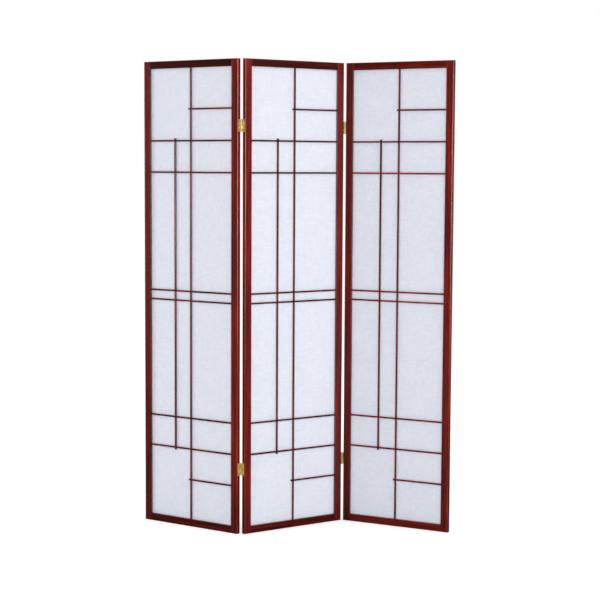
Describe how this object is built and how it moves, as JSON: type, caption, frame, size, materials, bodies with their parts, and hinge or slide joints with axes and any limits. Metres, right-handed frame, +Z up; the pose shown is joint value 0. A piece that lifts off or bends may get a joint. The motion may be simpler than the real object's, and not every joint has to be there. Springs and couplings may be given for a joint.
{
  "type": "room divider",
  "caption": "Folding room divider of hinged panels: wooden frames with a thin asymmetrical lattice on both faces over translucent paper, standing in a zigzag.",
  "frame": {"origin": "on the floor, at the middle of the space that the standing screen takes", "axes": "+X along the screen from its left to its right end as seen from the front, +Y from the front to the back, +Z up"},
  "size_m": [1.1778, 0.2484, 1.784],
  "materials": {
    "stile_wood": "red-brown stain under satin lacquer",
    "rail_wood": "red-brown stain under satin lacquer",
    "bar_wood": "red-brown stain under satin lacquer",
    "paper": "translucent fibre paper, matt",
    "hinge_brass": "bright plated",
    "screw_brass": "bright plated"
  },
  "bodies": {
    "left_panel": {"left_panel_left_stile": "stile_wood", "left_panel_right_stile": "stile_wood", "left_panel_top_rail": "rail_wood", "left_panel_bottom_rail": "rail_wood", "left_panel_paper": "paper", "left_panel_front_centre_bar": "bar_wood", "left_panel_front_side_bar": "bar_wood", "left_panel_front_cross_bars": "bar_wood", "left_panel_front_short_bars": "bar_wood", "left_panel_back_centre_bar": "bar_wood", "left_panel_back_side_bar": "bar_wood", "left_panel_back_cross_bars": "bar_wood", "left_panel_back_short_bars": "bar_wood", "left_top_hinge_outer_leaf": "hinge_brass", "left_bottom_hinge_outer_leaf": "hinge_brass", "left_hinges_outer_screws": "screw_brass"},
    "middle_panel": {"middle_panel_left_stile": "stile_wood", "middle_panel_right_stile": "stile_wood", "middle_panel_top_rail": "rail_wood", "middle_panel_bottom_rail": "rail_wood", "middle_panel_paper": "paper", "middle_panel_front_centre_bar": "bar_wood", "middle_panel_front_side_bar": "bar_wood", "middle_panel_front_cross_bars": "bar_wood", "middle_panel_front_short_bars": "bar_wood", "middle_panel_back_centre_bar": "bar_wood", "middle_panel_back_side_bar": "bar_wood", "middle_panel_back_cross_bars": "bar_wood", "middle_panel_back_short_bars": "bar_wood", "left_top_hinge_middle_leaf": "hinge_brass", "left_top_hinge_pin": "hinge_brass", "left_bottom_hinge_middle_leaf": "hinge_brass", "left_bottom_hinge_pin": "hinge_brass", "right_top_hinge_middle_leaf": "hinge_brass", "right_top_hinge_pin": "hinge_brass", "right_bottom_hinge_middle_leaf": "hinge_brass", "right_bottom_hinge_pin": "hinge_brass", "left_hinges_middle_screws": "screw_brass", "right_hinges_middle_screws": "screw_brass"},
    "right_panel": {"right_panel_left_stile": "stile_wood", "right_panel_right_stile": "stile_wood", "right_panel_top_rail": "rail_wood", "right_panel_bottom_rail": "rail_wood", "right_panel_paper": "paper", "right_panel_front_centre_bar": "bar_wood", "right_panel_front_side_bar": "bar_wood", "right_panel_front_cross_bars": "bar_wood", "right_panel_front_short_bars": "bar_wood", "right_panel_back_centre_bar": "bar_wood", "right_panel_back_side_bar": "bar_wood", "right_panel_back_cross_bars": "bar_wood", "right_panel_back_short_bars": "bar_wood", "right_top_hinge_outer_leaf": "hinge_brass", "right_bottom_hinge_outer_leaf": "hinge_brass", "right_hinges_outer_screws": "screw_brass"}
  },
  "joints": [
    {"name": "left_fold", "type": "hinge", "parent": "middle_panel", "child": "left_panel", "pos_m": [-0.20482, -0.11019, 0], "axis": [0, 0, 1], "range_deg": [-116, 64]},
    {"name": "right_fold", "type": "hinge", "parent": "middle_panel", "child": "right_panel", "pos_m": [0.18392, 0.10915, 0], "axis": [0, 0, 1], "range_deg": [-122, 58]}
  ]
}
